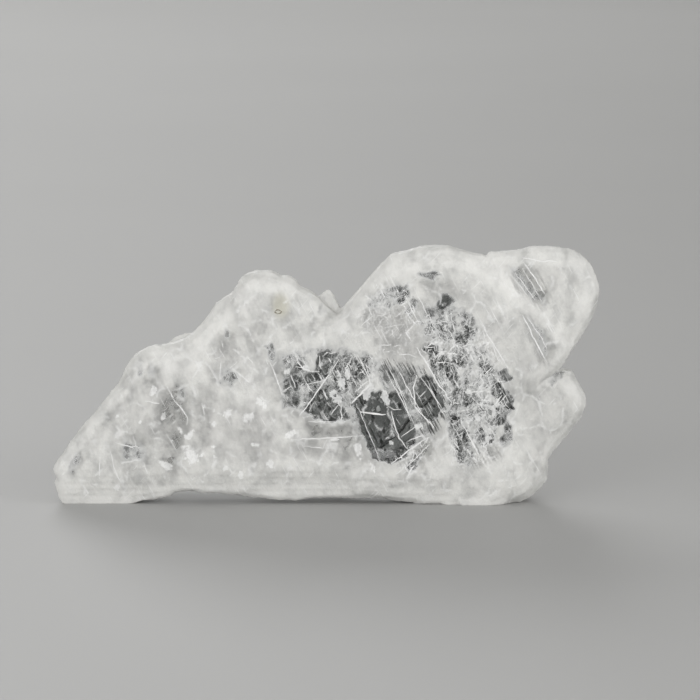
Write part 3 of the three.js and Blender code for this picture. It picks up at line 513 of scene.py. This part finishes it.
def make_stone():
    """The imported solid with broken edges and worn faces, and with the marks its looks need."""
    fine = remeshed(welded_copy(NODE), VOXEL)
    points, normals = vertex_arrays(fine)
    grain = Noise(11)
    side = np.sign(normals[:, 1])
    facing = np.abs(normals[:, 1])
    points[:, 1] = calmed(fine, points[:, 1], 0.8 * smoothstep(0.4, 0.8, facing), CALMING)
    mm = points / MM
    rim = calmed(fine, 1 - smoothstep(0.55, 0.92, facing), 0.7, 4)
    side_on = calmed(fine, smoothstep(0.6, 0.25, facing), 0.7, 3)

    cut = edge_cut(mm, normals, facing, rim, grain)
    points -= normals * [1, 0.25, 1] * (cut * MM)[:, None]

    # the two sides differ a little
    flat = mm[:, [0, 2]]
    shifted = np.column_stack([flat[:, 0] * 0.33, 3.0 * side, flat[:, 1] * 0.33])
    warp = WANDER * np.column_stack([grain.layers(shifted + 3, 3), grain.layers(shifted + 60, 3)])
    strayed = flat + warp
    # Thicker white in real lumps and bands, and painted light along the bottom edge.
    milk = cover(strayed, MILK_AND_PAINTED_LIGHT.values())
    clear = cover(strayed, WINDOWS.values(), np.where(side > 0, WIDER, 0)) * (1 - 0.8 * milk)

    # faint terraces of cleavage and a gentle swell on the broad faces
    down, over = (math.sin(-STEEP), math.cos(STEEP)), (math.sin(SLANT), -math.cos(SLANT))
    along, across = flat @ down, flat @ over
    cells = np.column_stack([along * 0.16, side * 4.0, across * 0.07])
    terrace = np.round(2.2 * grain.layers(cells + 40, 2)) / 2.2
    swell = grain.layers(mm * [0.2, 0.05, 0.2] + 70, 3)
    lift = TERRACE * terrace + SWELL * swell * (1 - 0.8 * clear) - SUNK
    points[:, 1] += side * (1 - rim) * lift * MM

    low, high = map(np.array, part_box(NODE))
    points = np.clip(points, low, high)
    points[mm[:, 2] < 0.05, 2] = 0
    fine.vertices.foreach_set("co", points.astype(np.float32).ravel())
    fine.update()

    open_face = 1 - side_on
    near_side = distance_to(flat, side_on > 0.6) + 1.2 * grain.layers(shifted + 20, 2)
    frost = smoothstep(FROST, 0, near_side)
    stain = np.hypot((along - BROWN[0] @ down) / BROWN[1], (across - BROWN[0] @ over) / BROWN[2])
    marks = {
        "clear": clear * open_face,
        "veil": cover(strayed, VEILS.values()) * open_face * (1 - milk),
        "milk": milk,
        "crazed": cover(flat, with_edge(CRAZED, CRAZED_EDGE)) * open_face,
        "streaked": cover(flat, with_edge(STREAKED, STREAKED_EDGE)) * open_face,
        "fleck": fleck_cover(flat, warp) * open_face,
        "side": side_on,
        "frost": np.maximum(frost, side_on),
        "stain": smoothstep(1.1, 0.3, stain) * open_face,
    }
    for name, values in marks.items():
        set_attribute(fine, name, values)
    fine.shade_smooth()
    fine.name = "crystal"
    return fine


# ---- Cracks and flakes ----

def wavering(line, draw):
    """The line in short steps, each a little off."""
    corners = [np.array(p, float) for p in line]
    points = [corners[0]]
    for start, end in zip(corners, corners[1:]):
        count = max(2, round(np.linalg.norm(end - start) / CRACK_STEP))
        for k in range(1, count + 1):
            points.append(start + (end - start) * k / count + draw.normal(0, CRACK_WANDER, 2))
    return points


def add_crack(shards, surface, line, thickness, depth, side, draw):
    """A thin closed sheet that follows a line on one broad face and runs into the stone."""
    points = wavering(line, draw)
    lean = draw.uniform(-0.35, 0.35)
    rings = []
    for k, point in enumerate(points):
        before, after = points[max(k - 1, 0)], points[min(k + 1, len(points) - 1)]
        way = (after - before) / np.linalg.norm(after - before)
        across = np.array([-way[1], way[0]])
        taper = 0.25 + 0.75 * math.sin(math.pi * (k + 0.35) / (len(points) - 0.3)) ** 0.6
        half = 0.4 * thickness * taper * draw.uniform(0.7, 1.3)
        deep = depth * taper * draw.uniform(0.7, 1.0)
        y = surface(point, side)
        if y is None:
            continue
        y += side * CRACK_PROUD
        ring = []
        for offset, inward in ((-half, 0), (half, 0), (0.3 * half, deep), (-0.3 * half, deep)):
            spot = point + across * (offset + lean * inward)
            ring.append((spot[0], y - side * inward, spot[1]))
        rings.append(ring)
    if len(rings) < 2:
        return
    last = 4 * (len(rings) - 1)
    faces = joined_rings(len(rings), 4) + [(3, 2, 1, 0), (last, last + 1, last + 2, last + 3)]
    shards.add([p for ring in rings for p in ring], faces)


def add_flake(shards, middle, size, thickness, draw):
    """A thin closed chip lying near the broad face's plane, its sides along the cleavages."""
    steep_way = np.array([math.cos(STEEP), 0, math.sin(STEEP)])
    slant_way = np.array([math.cos(SLANT), 0, math.sin(SLANT)])
    tip = np.array([0, 1, 0]) + draw.normal(0, 0.45, 3)
    tip /= np.linalg.norm(tip)
    corners = []
    for steep, slant in FLAKE_CORNERS:
        reach = draw.uniform(0.55, 1.15, 2)
        spot = steep_way * steep * size[0] * reach[0] + slant_way * slant * size[1] * reach[1]
        spot -= tip * (spot @ tip) * 0.8
        corners.append(spot)
    count = len(corners)
    top = [middle + c + tip * thickness / 2 for c in corners]
    bottom = [middle + c - tip * thickness / 2 for c in corners]
    faces = [tuple(range(count)), tuple(range(2 * count - 1, count - 1, -1))]
    faces += [(k, k + count, (k + 1) % count + count, (k + 1) % count) for k in range(count)]
    shards.add(top + bottom, faces)


def surface_finder(mesh):
    """Gives the depth of the front or back face at a place, or None beside the stone."""
    tree = BVHTree.FromPolygons([v.co for v in mesh.vertices], [p.vertices[:] for p in mesh.polygons])

    def find(place, side):
        start = Vector((place[0] * MM, side * BESIDE, place[1] * MM))
        spot, normal, _, _ = tree.ray_cast(start, Vector((0, -side, 0)))
        if spot is None or abs(normal.y) < BROAD:
            return None
        return spot.y / MM
    return find


def make_cracks(surface):
    draw = np.random.default_rng(23)
    shards = Shards()
    for thickness, depth, line in CRACKS:
        add_crack(shards, surface, line, thickness, depth, -1, draw)
    # the back has cracks of its own, along the same cleavages
    for _ in range(BACK_CRACKS):
        start = np.array([draw.uniform(-40, 46), draw.uniform(6, 50)])
        way = draw.choice([STEEP, STEEP, SLANT]) + draw.normal(0, 0.06)
        end = start + draw.uniform(*BACK_LENGTH) * heading(way)
        add_crack(shards, surface, [start, end], draw.uniform(*BACK_THICKNESS), BACK_DEPTH, 1, draw)
    return shards.mesh("cracks")


def scattered(outline, per_mm2, draw):
    """Random places inside an outline."""
    corners = np.array(outline)
    low, high = corners.min(axis=0), corners.max(axis=0)
    spots = draw.uniform(low, high, (int(np.prod(high - low) * per_mm2), 2))
    return spots[outside_by(spots, outline) < 0]


def make_webs(surface):
    """Short bright cracks where the stone is crazed, along its cleavages."""
    draw = np.random.default_rng(47)
    clumps = Noise(48)
    shards = Shards()
    for outline, strength in CRAZED.values():
        for side, density in WEBS_PER_MM2.items():
            spots = scattered(outline, density * strength, draw)
            layer = np.full(len(spots), 9 * side)
            thick = clumps(np.column_stack([spots[:, 0], layer, spots[:, 1]]) * 0.25)
            for start, dense in zip(spots, thick):
                if dense < draw.uniform(-0.6, 0.4):
                    continue
                way = draw.choice([STEEP, STEEP, STEEP, SLANT, SLANT, 0.1]) + draw.normal(0, 0.12)
                way += draw.choice([0, math.pi])
                length = draw.gamma(3.0, 0.6)
                bend = way + draw.normal(0, 0.25)
                half = start + 0.5 * length * heading(way)
                end = half + 0.5 * length * heading(bend)
                thickness = draw.uniform(*WEB_THICKNESS)
                add_crack(shards, surface, [start, half, end], thickness, WEB_DEPTH, side, draw)
    return shards.mesh("webs")


def make_flakes(surface):
    """Thin chips a little under both faces, in the crazed places and some of the windows."""
    draw = np.random.default_rng(31)
    shards = Shards()
    fields = list(CRAZED.values())
    fields += [(WINDOWS[name][0], WINDOW_FLAKES) for name in FLAKY_WINDOWS]
    for outline, strength in fields:
        for spot in scattered(outline, FLAKES_PER_MM2 * strength, draw):
            front, back = surface(spot, -1), surface(spot, 1)
            if front is None or back is None:
                continue
            y = draw.choice([front + draw.uniform(*FLAKE_DEPTHS), back - draw.uniform(*FLAKE_DEPTHS)])
            size = draw.uniform(*FLAKE_SIZES, 2) * [1.4, 1.0]
            middle = np.array([spot[0], y, spot[1]])
            add_flake(shards, middle, size, draw.uniform(*FLAKE_THICKNESS), draw)
    return shards.mesh("flakes")


def make_speck(surface):
    """A small dark ring, partly sunk in the front face."""
    draw = np.random.default_rng(5)
    y = surface(SPECK, -1) + 0.08
    points = []
    for k in range(SPECK_RINGS):
        turn = 2 * math.pi * k / SPECK_RINGS
        away, thick = draw.uniform(0.42, 0.62), draw.uniform(0.05, 0.22)
        for j in range(SPECK_SIDES):
            swing = 2 * math.pi * j / SPECK_SIDES
            reach = away + thick * math.cos(swing)
            x = SPECK[0] + 1.25 * reach * math.cos(turn)
            z = SPECK[1] + 0.85 * reach * math.sin(turn)
            points.append((x, y + 0.15 * math.sin(swing), z))
    ring = Shards()
    ring.add(points, joined_rings(SPECK_RINGS, SPECK_SIDES, closed=True))
    return ring.mesh("speck")


# ---- Materials ----

class Tree:
    """Short ways to add nodes to one material."""

    def __init__(self, name):
        self.material = bpy.data.materials.new(name)
        self.material.use_nodes = True
        self.nodes = self.material.node_tree.nodes
        self.link = self.material.node_tree.links.new
        self.shader = self.nodes["Principled BSDF"]

    def feed(self, node, inputs):
        """Set inputs of a node, each to a value or from another node's output."""
        for key, value in inputs.items():
            if hasattr(value, "is_linked"):
                self.link(value, node.inputs[key])
            else:
                node.inputs[key].default_value = value

    def add(self, kind, inputs, output=0, **settings):
        """One output of a new node."""
        node = self.nodes.new(kind)
        for key, value in settings.items():
            setattr(node, key, value)
        self.feed(node, inputs)
        return node.outputs[output]

    def attribute(self, name):
        return self.add("ShaderNodeAttribute", {}, "Fac", attribute_name=name)

    def place(self):
        """Object coordinates in millimetres."""
        inputs = {0: self.add("ShaderNodeTexCoord", {}, "Object"), "Scale": 1 / MM}
        return self.add("ShaderNodeVectorMath", inputs, operation="SCALE")

    def turned(self, place, angle, along, across, deep):
        """Coordinates that run with a direction on the broad face, in steps of the given mm."""
        inputs = {"Vector": place, "Rotation": (0, -angle, 0), "Scale": (along, deep, across)}
        return self.add("ShaderNodeMapping", inputs, vector_type="TEXTURE")

    def bent(self, place, scale, reach):
        """Coordinates pushed about by noise, by up to the reach in mm."""
        noise = self.add("ShaderNodeTexNoise", {"Vector": place, "Scale": scale}, "Color")
        inputs = {0: noise, 1: (reach, reach, reach), 2: place}
        return self.add("ShaderNodeVectorMath", inputs, operation="MULTIPLY_ADD")

    def sheared(self, place, step, deep):
        """Coordinates whose lines of equal value run along the two cleavages."""
        x, y, z = self.add("ShaderNodeSeparateXYZ", {0: place}).node.outputs
        ways = []
        for angle in (STEEP, SLANT):
            u = self.times(x, math.sin(angle) / step)
            v = self.times(z, math.cos(angle) / step)
            ways.append(self.math("SUBTRACT", u, v))
        return self.add("ShaderNodeCombineXYZ", {0: ways[0], 1: self.times(y, 1 / deep), 2: ways[1]})

    def math(self, operation, a, b=0.0, clamp=False):
        return self.add("ShaderNodeMath", {0: a, 1: b}, operation=operation, use_clamp=clamp)

    def times(self, product, *others):
        """All the values multiplied."""
        for other in others:
            product = self.math("MULTIPLY", product, other)
        return product

    def most(self, greatest, *others):
        """The greatest of the values."""
        for other in others:
            greatest = self.math("MAXIMUM", greatest, other)
        return greatest

    def without(self, part):
        """What is left of 1."""
        return self.math("SUBTRACT", 1.0, part)

    def add_up(self, *parts):
        """The sum of the parts, each a value or a pair of a value and its weight."""
        total = None
        for part in parts:
            part = self.times(*part) if isinstance(part, tuple) else part
            total = part if total is None else self.math("ADD", total, part)
        return total

    def noise(self, place, scale=1.0, detail=3.0, roughness=0.55, distortion=0.0):
        inputs = {"Vector": place, "Scale": scale, "Detail": detail, "Roughness": roughness,
                  "Distortion": distortion}
        return self.add("ShaderNodeTexNoise", inputs, "Fac")

    def cell_edges(self, place, scale, randomness):
        """Distance to the nearest border between cells."""
        inputs = {"Vector": place, "Scale": scale, "Randomness": randomness}
        return self.add("ShaderNodeTexVoronoi", inputs, "Distance", feature="DISTANCE_TO_EDGE")

    def cell_tone(self, place, scale):
        """A tone of its own for each small cell."""
        cells = self.add("ShaderNodeTexVoronoi", {"Vector": place, "Scale": scale}, "Color", feature="F1")
        return self.add("ShaderNodeSeparateColor", {0: cells})

    def remap(self, value, from_low, from_high, to_low=0.0, to_high=1.0):
        inputs = {"Value": value, "From Min": from_low, "From Max": from_high,
                  "To Min": to_low, "To Max": to_high}
        return self.add("ShaderNodeMapRange", inputs, interpolation_type="SMOOTHSTEP")

    def mix(self, amount, a, b):
        return self.add("ShaderNodeMix", {"Factor": amount, 6: a, 7: b}, 2, data_type="RGBA")

    def bump(self, height, strength, distance):
        inputs = {"Height": height, "Strength": strength, "Distance": distance}
        return self.add("ShaderNodeBump", inputs)


# Linear colours of the stone's parts
MILKY = (0.76, 0.755, 0.725, 1)
MILKY_DULL = (0.56, 0.562, 0.545, 1)
MILKY_BANDS = (0.76, 0.755, 0.727, 1)
FROSTED = (0.76, 0.755, 0.73, 1)
FROSTED_DULL = (0.64, 0.64, 0.62, 1)
WHITE = (0.8, 0.795, 0.77, 1)
STAIN = (0.58, 0.55, 0.4, 1)
CLEAR = (0.93, 0.94, 0.935, 1)
BRIGHT = (0.88, 0.88, 0.87, 1)
FROST_COVER = 0.7  # how much the frost and the stain hide, from 0 to 1
STAIN_COVER = 0.45
ABSORPTION = (0.795, 0.8, 0.797, 1)  # a window lets about a fifth of the light right through
ABSORPTION_DENSITY = 470


def stone_patterns(tree):
    """The noises and the stone's own marks that its looks are mixed from."""
    place = tree.place()
    sheared = tree.sheared(place, 1, 4)
    marks = ("clear", "veil", "milk", "crazed", "streaked", "fleck", "side", "frost", "stain")
    look = SimpleNamespace(**{name: tree.attribute(name) for name in marks})
    look.cloud = tree.noise(place, 0.13, 5, 0.6, 0.3)
    look.speckle = tree.noise(place, 1.3, 5, 0.68, 0.5)
    look.grain = tree.noise(sheared, 0.42, 4, 0.65)
    look.patches = tree.noise(sheared, 0.24, 4, 0.6)
    look.crumble = tree.noise(tree.sheared(place, 0.5, 1.5), 1, 4, 0.7)
    look.bands = tree.noise(tree.turned(place, STEEP, 9, 1.7, 8), 1, 3, 0.55)
    look.hairs = tree.noise(tree.turned(place, STEEP, 8, 0.34, 9), 1, 3, 0.55)
    look.slant_hairs = tree.noise(tree.turned(place, SLANT, 6, 0.28, 9), 1, 2, 0.5)
    look.sheets = tree.noise(tree.turned(place, 0, 5, 5, 0.5), 1, 4, 0.6)
    look.bundle = tree.remap(tree.noise(place, 0.22, 2), 0.45, 0.62)
    look.tiles = tree.cell_tone(sheared, 0.21)
    look.facets = tree.add_up((tree.cell_tone(sheared, 0.8), 0.6), (tree.cell_tone(sheared, 1.9), 0.4))
    look.borders = tree.cell_edges(sheared, 0.55, 0.8)
    look.veined = tree.cell_edges(tree.bent(place, 0.25, 3.5), 0.17, 1)
    look.unfrosted = tree.without(tree.times(look.frost, FROST_COVER))
    return look


def clear_windows(tree, look):
    """Windows with broken edges."""
    ragged = tree.add_up((look.grain, 0.9), (look.patches, -1.6), (look.speckle, 0.5), 0.1)
    ragged = tree.times(ragged, tree.add_up((look.crazed, 0.65), 0.5))
    ragged = tree.times(ragged, tree.remap(look.clear, 0.75, 0.98, 1, 0.3))
    return tree.remap(tree.add_up(look.clear, ragged), 0.15, 0.85)


def soft_haze(tree, look):
    """Veils and clear streaks, and the little light that comes through elsewhere."""
    haze = tree.add_up(tree.remap(look.cloud, 0.38, 0.68, 0, 0.1),
                       tree.remap(look.patches, 0.5, 0.62, 0, 0.12),
                       tree.remap(look.tiles, 0.5, 0.9, 0, 0.07))
    veil = tree.add_up((look.cloud, 0.5), (look.grain, 1.6), (look.tiles, 0.3), (look.speckle, 0.5), -0.45)
    haze = tree.add_up(haze, tree.times(look.veil, veil))
    streaks = tree.remap(tree.add_up((look.hairs, 0.75), (look.grain, 0.25)), 0.42, 0.6)
    return tree.most(tree.times(haze, look.unfrosted), tree.times(streaks, look.streaked))


def bright_crazing(tree, look):
    """Fine cracks along the cleavages, and crumbs between the dark patches."""
    borders = tree.remap(look.borders, 0.02, 0.07, 1, 0)
    borders = tree.times(borders, tree.remap(look.speckle, 0.4, 0.6))
    crumbs = tree.remap(tree.add_up(look.crumble, (look.facets, 0.25)), 0.62, 0.76)
    crumbs = tree.times(crumbs, tree.remap(look.patches, 0.4, 0.56, 0.15, 0.8))
    crumbs = tree.times(crumbs, tree.remap(look.clear, 0.6, 0.95, 1, 0.3))
    return tree.times(tree.most(tree.times(borders, 0.7), crumbs), look.crazed)


def bright_marks(tree, look):
    """Crazing, white flecks, hair-fine lines along both cleavages, and wandering veins."""
    hair = tree.most(tree.remap(look.hairs, 0.6, 0.7), tree.remap(look.slant_hairs, 0.64, 0.74))
    hair = tree.times(hair, tree.times(look.bundle, 0.8))
    veins = tree.add_up(look.veined, (look.speckle, 0.06), -0.03)
    veins = tree.times(tree.remap(veins, 0, 0.09, 1, 0),
                       tree.remap(look.grain, 0.47, 0.6, 0, 0.55), look.unfrosted)
    flecks = tree.add_up(look.fleck, (look.facets, 0.45), (look.crumble, 0.6), -0.54)
    flecks = tree.times(tree.remap(flecks, 0.44, 0.6), tree.remap(look.crumble, 0.35, 0.6, 0.5, 0.9))
    return tree.most(bright_crazing(tree, look), hair, flecks, veins)


def milky_colour(tree, look):
    """The colour where the stone isn't clear."""
    tone = tree.add_up((look.cloud, 0.35), (look.patches, 0.45), (look.grain, 0.45), (look.speckle, 0.25))
    milky = tree.mix(tree.remap(tone, 0.55, 0.95), MILKY, MILKY_DULL)
    milky = tree.mix(tree.remap(look.bands, 0.4, 0.7, 0, 0.4), milky, MILKY_BANDS)
    layered = tree.times(tree.remap(look.sheets, 0.6, 0.4), look.side)
    layered = tree.most(layered, tree.remap(tone, 0.65, 0.95))
    frosted = tree.mix(layered, FROSTED, FROSTED_DULL)
    milky = tree.mix(tree.times(look.frost, FROST_COVER), milky, frosted)
    # Whiter where the milk is thick, and along the bottom edge, where the whiteness is painted light.
    white = tree.times(look.milk, tree.remap(tone, 0.85, 0.6, 0.4, 1))
    milky = tree.mix(white, milky, WHITE)
    return tree.mix(tree.times(look.stain, STAIN_COVER), milky, STAIN)


def stone_relief(tree, look, window):
    """Fine unevenness, least in the windows, and the layers along the edges."""
    height = tree.add_up(look.speckle, (look.bands, 0.8), (look.grain, 0.5))
    height = tree.times(height, tree.math("SUBTRACT", 1.1, window))
    height = tree.add_up(height, (tree.times(look.sheets, look.side), 2.4))
    return tree.bump(height, 0.4, 0.3 * MM)


def stone_material():
    tree = Tree("selenite_clear_milky")
    look = stone_patterns(tree)
    window = clear_windows(tree, look)
    bright = bright_marks(tree, look)
    through = tree.most(window, soft_haze(tree, look))
    through = tree.math("MULTIPLY", through, tree.without(tree.times(bright, 0.92)), clamp=True)
    colour = tree.mix(window, milky_colour(tree, look), CLEAR)
    tree.feed(tree.shader, {
        "Base Color": tree.mix(bright, colour, BRIGHT),
        "Transmission Weight": through,
        "Roughness": tree.remap(through, 0.3, 0.9, 0.48, 0.05),
        "Normal": stone_relief(tree, look, window),
        "IOR": REFRACTION,
    })
    absorb = {"Color": ABSORPTION, "Density": ABSORPTION_DENSITY}
    tree.feed(tree.nodes["Material Output"], {"Volume": tree.add("ShaderNodeVolumeAbsorption", absorb)})
    return tree.material


def mottled_material(name, scale, first, second, roughness):
    """A solid colour that varies between two."""
    tree = Tree(name)
    tone = tree.noise(tree.place(), scale, 3)
    tree.feed(tree.shader, {"Base Color": tree.mix(tone, first, second), "Roughness": roughness})
    return tree.material


def crack_material():
    return mottled_material("bright_crack", 0.8, (0.78, 0.78, 0.77, 1), (0.9, 0.9, 0.89, 1), 0.55)


def speck_material():
    return mottled_material("dark_speck", 3, (0.16, 0.14, 0.1, 1), (0.34, 0.31, 0.25, 1), 0.6)


def floor_material():
    """Light grey paper that pales towards the backdrop."""
    tree = Tree("studio_floor")
    place = tree.place()
    tint = tree.noise(place, 0.004, 2)
    paper = tree.mix(tint, (0.41, 0.41, 0.405, 1), (0.44, 0.44, 0.435, 1))
    away = tree.add("ShaderNodeVectorMath", {0: place}, "Value", operation="LENGTH")
    paper = tree.mix(tree.remap(away, *PALING), paper, (0.88, 0.88, 0.87, 1))
    tree.feed(tree.shader, {"Base Color": paper, "Roughness": 0.6})
    return tree.material


# ---- Studio ----

FLOOR_RADIUS = 3.4
FLOOR_BEND = 1.0
FLOOR_STEPS = 96  # round the floor, and up its bend
BEND_STEPS = 12
WALL_HEIGHT = 1.6
PALING = (1700, 3500)  # where the floor starts and ends growing paler, in mm
LIGHTS_AIM = Vector((0, 0, 0.03))
DAYLIGHT = (1.0, 0.995, 0.98, 1)
DAYLIGHT_STRENGTH = 0.4

# Soft lights: place, width, height and watts
LIGHTS = {
    "key": ((-0.5, -0.9, 0.42), 0.8, 0.8, 3.1),
    "low": ((0.0, -1.1, 0.16), 1.6, 0.3, 3.9),
    "right": ((0.95, -0.45, 0.3), 0.6, 0.5, 3.6),
    "left": ((-0.95, -0.3, 0.25), 0.6, 0.4, 1.1),
    "top": ((0.05, 0.1, 1.1), 0.9, 0.9, 0.9),
    "back": ((-0.5, 1.7, 0.9), 1.4, 0.9, 11.0),
}


def make_floor():
    """A level disc that curves up into a plain round backdrop."""
    profile = [(0.6, 0.0), (1.6, 0.0)]
    for i in range(BEND_STEPS + 1):
        turn = math.pi / 2 * i / BEND_STEPS
        profile.append((FLOOR_RADIUS + FLOOR_BEND * math.sin(turn), FLOOR_BEND * (1 - math.cos(turn))))
    profile.append((FLOOR_RADIUS + FLOOR_BEND, FLOOR_BEND + WALL_HEIGHT))
    points = [(0.0, 0.0, 0.0)]
    for radius, height in profile:
        for k in range(FLOOR_STEPS):
            angle = 2 * math.pi * k / FLOOR_STEPS
            points.append((radius * math.cos(angle), radius * math.sin(angle), height))
    faces = [(0, 1 + k, 1 + (k + 1) % FLOOR_STEPS) for k in range(FLOOR_STEPS)]
    faces += [(a, d, c, b) for a, b, c, d in joined_rings(len(profile), FLOOR_STEPS, first=1)]
    mesh = bpy.data.meshes.new("studio_floor")
    mesh.from_pydata(points, [], faces)
    mesh.shade_smooth()
    mesh.materials.append(floor_material())
    add_object(mesh)


def soft_light(name, place, width, height, watts):
    light = bpy.data.lights.new(name, "AREA")
    light.shape = "ELLIPSE"
    light.size = width
    light.size_y = height
    light.energy = watts
    lamp = add_object(light)
    lamp.location = place
    lamp.rotation_euler = (LIGHTS_AIM - Vector(place)).to_track_quat("-Z", "Y").to_euler()
    lamp.visible_camera = False


def make_lights():
    for name, values in LIGHTS.items():
        soft_light(name, *values)
    world = bpy.data.worlds.new("studio")
    world.use_nodes = True
    background = world.node_tree.nodes["Background"]
    background.inputs["Color"].default_value = DAYLIGHT
    background.inputs["Strength"].default_value = DAYLIGHT_STRENGTH
    bpy.context.scene.world = world


def make_camera():
    lens = bpy.data.cameras.new("camera")
    lens.sensor_width = SENSOR
    lens.lens = SENSOR * VIEW_DISTANCE / VIEW_WIDTH
    lens.clip_start = 0.01
    camera = add_object(lens)
    away = Vector((0, -math.cos(VIEW_ELEVATION), math.sin(VIEW_ELEVATION)))
    camera.location = AIM + away * VIEW_DISTANCE
    camera.rotation_euler = (-away).to_track_quat("-Z", "Y").to_euler()
    bpy.context.scene.camera = camera


def finish_piece(mesh, material):
    mesh.materials.append(material)
    piece = add_object(mesh)
    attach(piece, "root")
    return piece


make_camera()
make_floor()
make_lights()
bpy.context.scene.view_settings.view_transform = "Standard"

stone = finish_piece(make_stone(), stone_material())
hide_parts(NODE)

surface = surface_finder(stone.data)
white = crack_material()
finish_piece(make_cracks(surface), white)
finish_piece(make_webs(surface), white)
finish_piece(make_flakes(surface), white)
finish_piece(make_speck(surface), speck_material())
